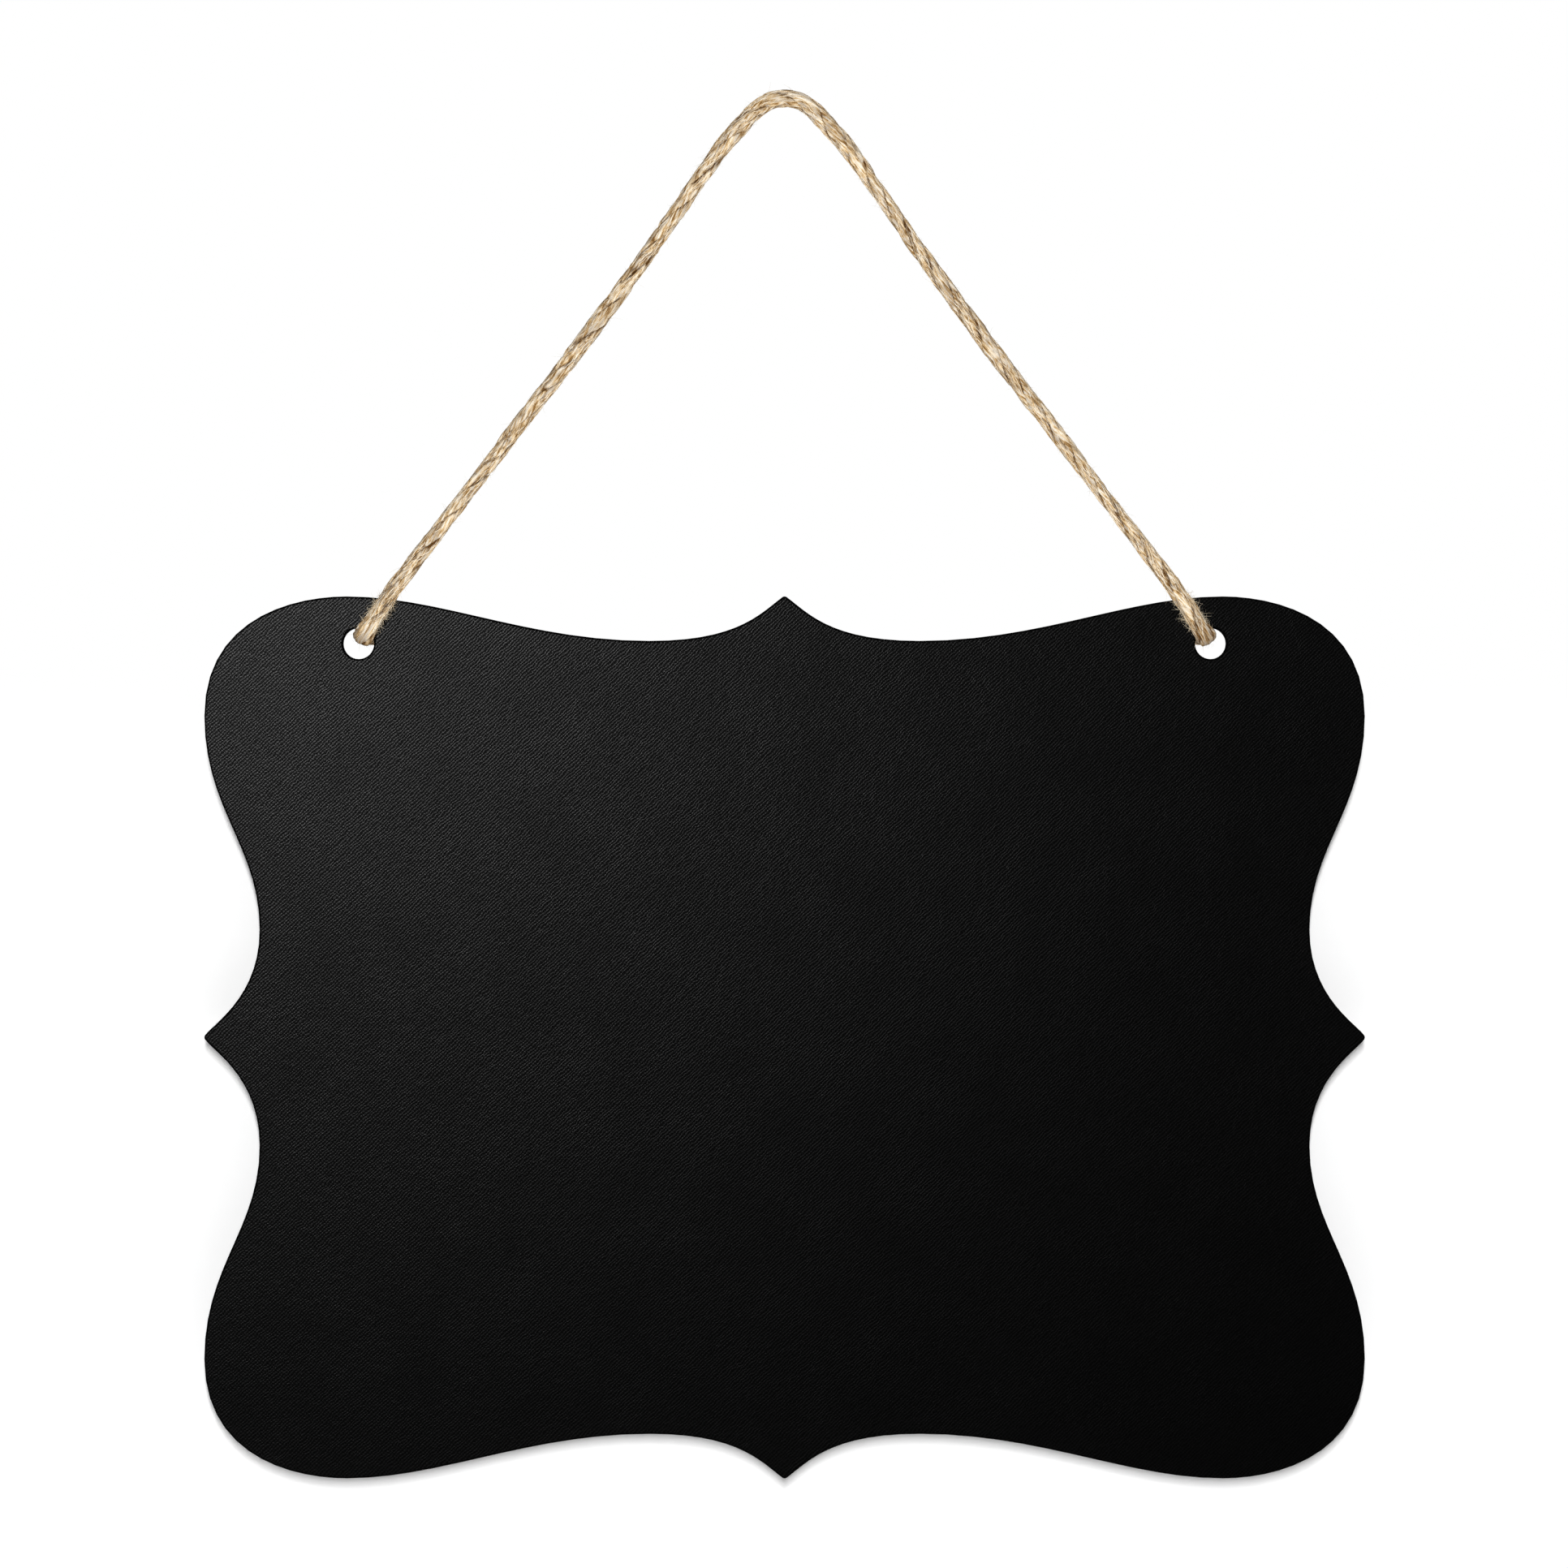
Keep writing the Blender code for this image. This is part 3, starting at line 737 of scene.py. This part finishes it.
def make_fuzz(name, rows, brush_row, seed):
    """Hairs rooted just under the twine's surface, at random places and leanings.

    Each runs straight by its length and bends off by the square of its share. A brush row adds
    the brush at a cut end, and without one the hairs that chafe off near the holes are added.
    """
    draw = np.random.default_rng(seed)
    span = rope_reach[rows[-1]] - rope_reach[rows[0]]
    count = int(span * HAIRS_PER_METRE)
    at = draw.choice(rows, count)
    least, most = HAIR_LENGTHS
    lengths = least + (most - least) * draw.random(count) ** HAIR_LENGTH_RARITY
    if brush_row is None:
        to_hole = hole_reach - np.abs(rope_reach[rows])
        near_hole = rows[(to_hole > CHAFED_END) & (to_hole < CHAFED_LENGTH)]
        at = np.concatenate((at, draw.choice(near_hole, CHAFED_HAIRS)))
        lengths = np.concatenate((lengths, draw.uniform(least, CHAFED_REACH, CHAFED_HAIRS)))
    ahead, side, up = (part[at] for part in rope_frames)
    around = draw.uniform(0, math.tau, len(at))[:, None]
    outward = np.cos(around) * side + np.sin(around) * up
    lift = draw.uniform(*HAIR_LIFTS, len(at))[:, None]
    lift[count:] = draw.uniform(*CHAFED_LIFTS, len(at) - count)[:, None]
    way = np.where(draw.random(len(at)) < 0.5, -1, 1)[:, None]
    directions = outward * lift + ahead * way * np.sqrt(1 - lift**2)
    roots = rope_path[at] + outward * (rope_radius(rope_reach[at]) * HAIR_ROOT_SHARE)[:, None]
    if brush_row is not None:
        way = 1 if brush_row else -1
        spread = draw.normal(0, 1, (BRUSH_HAIRS, 2)) * ROPE_DIAMETER / 4
        end_ahead, end_side, end_up = (part[brush_row] for part in rope_frames)
        offset = spread[:, :1] * end_side + spread[:, 1:] * end_up
        lean = offset / ROPE_DIAMETER * 2 * BRUSH_SPREAD
        roots = np.vstack((roots, rope_path[brush_row] + offset - way * end_ahead * BRUSH_ROOT))
        directions = np.vstack((directions, way * end_ahead + lean))
        lengths = np.concatenate((lengths, draw.uniform(*BRUSH_LENGTHS, BRUSH_HAIRS)))
    directions /= np.linalg.norm(directions, axis=1)[:, None]
    bends = HAIR_BEND * draw.normal(0, 1, directions.shape)
    t = np.linspace(0, 1, HAIR_STEPS + 1)[None, :, None]
    run = lengths[:, None, None] * t
    straight = roots[:, None] + run * directions[:, None]
    centres = press_on_board(straight + run * t * bends[:, None])
    thick = np.full((len(centres), 1), HAIR_RADIUS)
    thick[count:] = TUFT_RADIUS
    radii = thick * (1 - HAIR_TAPER * t[..., 0])
    fronts = draw.normal(0, 1, directions.shape)
    vertices, faces = tube_mesh(centres, radii, fronts)
    return make_piece(name, vertices.reshape(-1, 3), faces, {}, jute_fibre)


# A single jute fibre: glossy straw, paler than the twine because light goes through it, and its
# tone drifts over about a millimetre.
FIBRE_DULL, FIBRE_PALE = "C9B48F", "F1E6D0"
FIBRE_TONE_SCALE = 900.0


def make_jute_fibre():
    """Loose jute fibre: noise mixes two straw tones."""
    material = bpy.data.materials.new("loose_jute_fibre")
    material.use_nodes = True
    tree = material.node_tree
    shader = tree.nodes["Principled BSDF"]
    shader.inputs["Roughness"].default_value = 0.6
    position = add_node(tree, "ShaderNodeTexCoord", {}).outputs["Object"]
    noise = add_node(
        tree, "ShaderNodeTexNoise", {"Vector": position, "Scale": FIBRE_TONE_SCALE}
    ).outputs["Fac"]
    colour = add_node(
        tree,
        "ShaderNodeMix",
        {0: noise, 6: linear(FIBRE_DULL), 7: linear(FIBRE_PALE)},
        data_type="RGBA",
    ).outputs[2]
    tree.links.new(colour, shader.inputs["Base Color"])
    return material


jute_fibre = make_jute_fibre()
loop_skin = [
    make_bundles("rope_loop_bundles", rope_rows, seed=51),
    make_fuzz("rope_loop_fuzz", rope_rows, None, seed=41),
]
end_skin = []
for name, rows, brush_row, seed in (("left", left_rows, 0, 42), ("right", right_rows, -1, 43)):
    end_skin.append(make_bundles(f"rope_end_bundles_{name}", rows, seed=seed + 10))
    end_skin.append(make_fuzz(f"rope_end_fuzz_{name}", rows, brush_row, seed=seed))
for piece in end_skin:
    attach(piece, "board")

# The loop, from the hook to just above the holes, hangs on no body: its placing is baked into its
# meshes.
for piece in (rope, *loop_skin):
    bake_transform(piece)


# Board core. One flat board of dense fibreboard, sawn to shape, drilled and stained black right
# through its eased edge. It has no sheen and drinks the light, with the short felted grain of a
# sanded edge.
STAIN_DARK, STAIN_PALE = "020202", "060606"
EDGE_GRAIN = 0.0004


def make_stained_board():
    """Black stained fibreboard: fine noise mixes two near blacks and roughens the surface."""
    material = bpy.data.materials.new("black_stained_fibreboard")
    material.use_nodes = True
    tree = material.node_tree
    shader = tree.nodes["Principled BSDF"]
    shader.inputs["Roughness"].default_value = 0.85
    shader.inputs["Specular IOR Level"].default_value = 0.05
    position = add_node(tree, "ShaderNodeTexCoord", {}).outputs["Object"]
    grain = add_node(
        tree, "ShaderNodeTexNoise", {"Vector": position, "Scale": 1 / EDGE_GRAIN, "Detail": 3.0}
    ).outputs["Fac"]
    colour = add_node(
        tree,
        "ShaderNodeMix",
        {0: grain, 6: linear(STAIN_DARK), 7: linear(STAIN_PALE)},
        data_type="RGBA",
    ).outputs[2]
    tree.links.new(colour, shader.inputs["Base Color"])
    bump = add_node(
        tree, "ShaderNodeBump", {"Height": grain, "Strength": 0.4, "Distance": 0.0001}
    ).outputs["Normal"]
    tree.links.new(bump, shader.inputs["Normal"])
    return material


# Writing sheets. A matte black blackboard film glued to each face of the core. It is embossed with
# a fine wavering twill that leans to the right, crossed by a weaker one, and its tiny ridges catch
# the light in soft patches.
FILM_BLACK = "020202"
# The pitch is drawn as coarse as the picture shows it
TWILL_PITCH = 0.00072
TWILL_ANGLE = math.radians(47)
CROSS_TWILL_SHARE = 0.55
# A wave texture's own pitch at scale 1
WAVE_PITCH = math.tau / 20
PATCH_SIZE = 0.016
PATCH_SHARE = 0.4
TWILL_TOP = 1.25
VALLEY_ROUGHNESS, RIDGE_ROUGHNESS = 0.32, 0.28
VALLEY_SHINE, RIDGE_SHINE = 0.12, 0.68


def make_blackboard_film():
    """Blackboard film: two sets of waves are added for the ridges, and a patchy noise scales them.

    The higher the ridge, the smoother and shinier the film.
    """
    material = bpy.data.materials.new("embossed_blackboard_film")
    material.use_nodes = True
    tree = material.node_tree
    shader = tree.nodes["Principled BSDF"]
    shader.inputs["Base Color"].default_value = linear(FILM_BLACK)
    position = add_node(tree, "ShaderNodeTexCoord", {}).outputs["Object"]
    heights = []
    for angle in (-TWILL_ANGLE, TWILL_ANGLE):
        turned_place = add_node(
            tree,
            "ShaderNodeVectorRotate",
            {"Vector": position, "Angle": angle},
            rotation_type="Y_AXIS",
        ).outputs[0]
        ribs = add_node(
            tree,
            "ShaderNodeTexWave",
            {
                "Vector": turned_place,
                "Scale": WAVE_PITCH / TWILL_PITCH,
                "Distortion": 4.0,
                "Detail": 1.0,
                "Detail Scale": 1.5,
            },
        )
        heights.append(ribs.outputs["Fac"])
    patch = add_node(
        tree, "ShaderNodeTexNoise", {"Vector": position, "Scale": 1 / PATCH_SIZE, "Detail": 2.0}
    ).outputs["Fac"]
    crossed = add_node(
        tree,
        "ShaderNodeMath",
        {0: heights[1], 1: CROSS_TWILL_SHARE, 2: heights[0]},
        operation="MULTIPLY_ADD",
    ).outputs[0]
    evened = add_node(
        tree,
        "ShaderNodeMath",
        {0: patch, 1: PATCH_SHARE, 2: 1 - PATCH_SHARE},
        operation="MULTIPLY_ADD",
    ).outputs[0]
    height = add_node(
        tree, "ShaderNodeMath", {0: crossed, 1: evened}, operation="MULTIPLY"
    ).outputs[0]
    for socket, valley, ridge in (
        ("Roughness", VALLEY_ROUGHNESS, RIDGE_ROUGHNESS),
        ("Specular IOR Level", VALLEY_SHINE, RIDGE_SHINE),
    ):
        value = add_node(
            tree,
            "ShaderNodeMapRange",
            {"Value": height, "From Max": TWILL_TOP, "To Min": valley, "To Max": ridge},
        ).outputs[0]
        tree.links.new(value, shader.inputs[socket])
    bump = add_node(
        tree, "ShaderNodeBump", {"Height": height, "Strength": 0.2, "Distance": 0.0001}
    ).outputs["Normal"]
    tree.links.new(bump, shader.inputs["Normal"])
    return material


stained_board = make_stained_board()
blackboard_film = make_blackboard_film()
for node, finish in (
    ("board_core", stained_board),
    ("front_writing_sheet", blackboard_film),
    ("back_writing_sheet", blackboard_film),
):
    frame["nodes"][node].data.materials.clear()
    frame["nodes"][node].data.materials.append(finish)


# Stage. A white wall just behind the knots and a white floor under the sign. The wall is a
# backdrop alone: from behind it is clear, and no light bounces off it.
WALL_GAP = 0.0006
WALL_WIDTH = 7.0
WALL_TOP = 3.0
FLOOR_Z = -1.2
FLOOR_SIZE = 14.0
FLOOR_GLOW = 0.82
CARD_WHITE = "F9F9F9"
CARD_TOP = -0.145
CARD_FADE = 0.045


def make_plane(name, corners, material):
    """One flat card for the stage."""
    mesh = bpy.data.meshes.new(name)
    mesh.from_pydata(corners, [], [range(len(corners))])
    mesh.materials.append(material)
    plane = bpy.data.objects.new(name, mesh)
    bpy.context.scene.collection.objects.link(plane)
    return plane


def make_backdrop_white(name, is_wall):
    """White card. The floor has part of its white from itself, and keeps soft shadows.

    The wall's upper part, behind the rope, is lit through from behind and keeps no shadow.
    """
    material = bpy.data.materials.new(name)
    material.use_nodes = True
    tree = material.node_tree
    tree.nodes.remove(tree.nodes["Principled BSDF"])
    output = tree.nodes["Material Output"]
    seen = add_node(tree, "ShaderNodeLightPath", {}).outputs["Is Camera Ray"]
    card = add_node(tree, "ShaderNodeBsdfDiffuse", {"Color": linear(CARD_WHITE)}).outputs[0]
    if is_wall:
        position = add_node(tree, "ShaderNodeTexCoord", {}).outputs["Object"]
        height = add_node(tree, "ShaderNodeSeparateXYZ", {0: position}).outputs["Z"]
        lit_through = add_node(
            tree,
            "ShaderNodeMapRange",
            {"Value": height, "From Min": CARD_TOP - CARD_FADE, "From Max": CARD_TOP},
            interpolation_type="SMOOTHSTEP",
        ).outputs[0]
        bright = add_node(tree, "ShaderNodeEmission", {"Strength": 1.0}).outputs[0]
        white = add_node(
            tree, "ShaderNodeMixShader", {0: lit_through, 1: card, 2: bright}
        ).outputs[0]
        clear = add_node(tree, "ShaderNodeBsdfTransparent", {}).outputs[0]
        behind = add_node(tree, "ShaderNodeNewGeometry", {}).outputs["Backfacing"]
        shown = add_node(
            tree, "ShaderNodeMath", {0: seen, 1: behind}, operation="SUBTRACT", use_clamp=True
        ).outputs[0]
        surface = add_node(
            tree, "ShaderNodeMixShader", {0: shown, 1: clear, 2: white}
        ).outputs[0]
    else:
        glow = add_node(tree, "ShaderNodeEmission", {"Strength": FLOOR_GLOW}).outputs[0]
        white = add_node(tree, "ShaderNodeAddShader", {0: card, 1: glow}).outputs[0]
        surface = add_node(tree, "ShaderNodeMixShader", {0: seen, 1: card, 2: white}).outputs[0]
    tree.links.new(surface, output.inputs["Surface"])
    return material


wall_y = cad_box[1].y + WALL_GAP
wall_half, floor_half = WALL_WIDTH / 2, FLOOR_SIZE / 2
make_plane(
    "backdrop_wall",
    [
        (-wall_half, wall_y, FLOOR_Z), (wall_half, wall_y, FLOOR_Z),
        (wall_half, wall_y, WALL_TOP), (-wall_half, wall_y, WALL_TOP),
    ],
    make_backdrop_white("white_wall_card", True),
)
floor = make_plane(
    "floor",
    [
        (-floor_half, -floor_half, FLOOR_Z), (floor_half, -floor_half, FLOOR_Z),
        (floor_half, floor_half, FLOOR_Z), (-floor_half, floor_half, FLOOR_Z),
    ],
    make_backdrop_white("white_floor_card", False),
)
floor.visible_glossy = False

# Light. A tall strip above the camera lights the front and throws the thin shadow straight down,
# and a fill lamp at the camera opens the shade. A lamp to the upper left shows in gloss alone and
# gives the board its sheen, and one lights the back.
LAMPS = (
    # name, place, width, height, watts, whether it shows in matte surfaces, and in gloss
    ("front_strip", (0.0, -2.2, CAMERA_Z + 0.26), 0.10, 0.52, 39.5, True, False),
    ("fill_lamp", (0.0, -2.2, CAMERA_Z), 0.30, 0.30, 4.5, True, False),
    ("sheen_lamp", (-0.32, -1.43, 0.08), 0.18, 0.18, 2.0, False, True),
    ("back_lamp", (0.5, 2.0, 0.8), 1.2, 1.2, 38, True, False),
)
# The white room is dark in front and light from the sides back: how far back a direction points
# where it is still dark, where it is light, and how light, for matte surfaces and for gloss
SIDE_LIGHT = (-0.5, 0.0, 0.35)
GLOSS_LIGHT = (-0.77, -0.34, 0.30)


def add_lamp(name, place, width, height, watts, in_diffuse, in_gloss):
    """A flat rectangular lamp that faces the middle of the sign."""
    data = bpy.data.lights.new(name, "AREA")
    data.shape = "RECTANGLE"
    data.size = width
    data.size_y = height
    data.energy = watts
    lamp = bpy.data.objects.new(name, data)
    lamp.location = place
    towards = Vector((0, 0, CAMERA_Z)) - Vector(place)
    lamp.rotation_euler = towards.to_track_quat("-Z", "Y").to_euler()
    lamp.visible_diffuse = in_diffuse
    lamp.visible_glossy = in_gloss
    bpy.context.scene.collection.objects.link(lamp)


for lamp in LAMPS:
    add_lamp(*lamp)

world = bpy.data.worlds.new("studio")
world.use_nodes = True
bpy.context.scene.world = world
sky = world.node_tree
background = sky.nodes["Background"]
background.inputs["Color"].default_value = linear("FFFFFF")
ray = add_node(sky, "ShaderNodeLightPath", {})
direction = add_node(sky, "ShaderNodeTexCoord", {}).outputs["Generated"]
how_far_back = add_node(sky, "ShaderNodeSeparateXYZ", {0: direction}).outputs["Y"]
strength = ray.outputs["Is Camera Ray"]
for kind, (dark, light, level) in (("Is Diffuse Ray", SIDE_LIGHT), ("Is Glossy Ray", GLOSS_LIGHT)):
    from_there = add_node(
        sky,
        "ShaderNodeMapRange",
        {"Value": how_far_back, "From Min": dark, "From Max": light, "To Max": level},
    ).outputs[0]
    strength = add_node(
        sky,
        "ShaderNodeMath",
        {0: ray.outputs[kind], 1: from_there, 2: strength},
        operation="MULTIPLY_ADD",
    ).outputs[0]
sky.links.new(strength, background.inputs["Strength"])
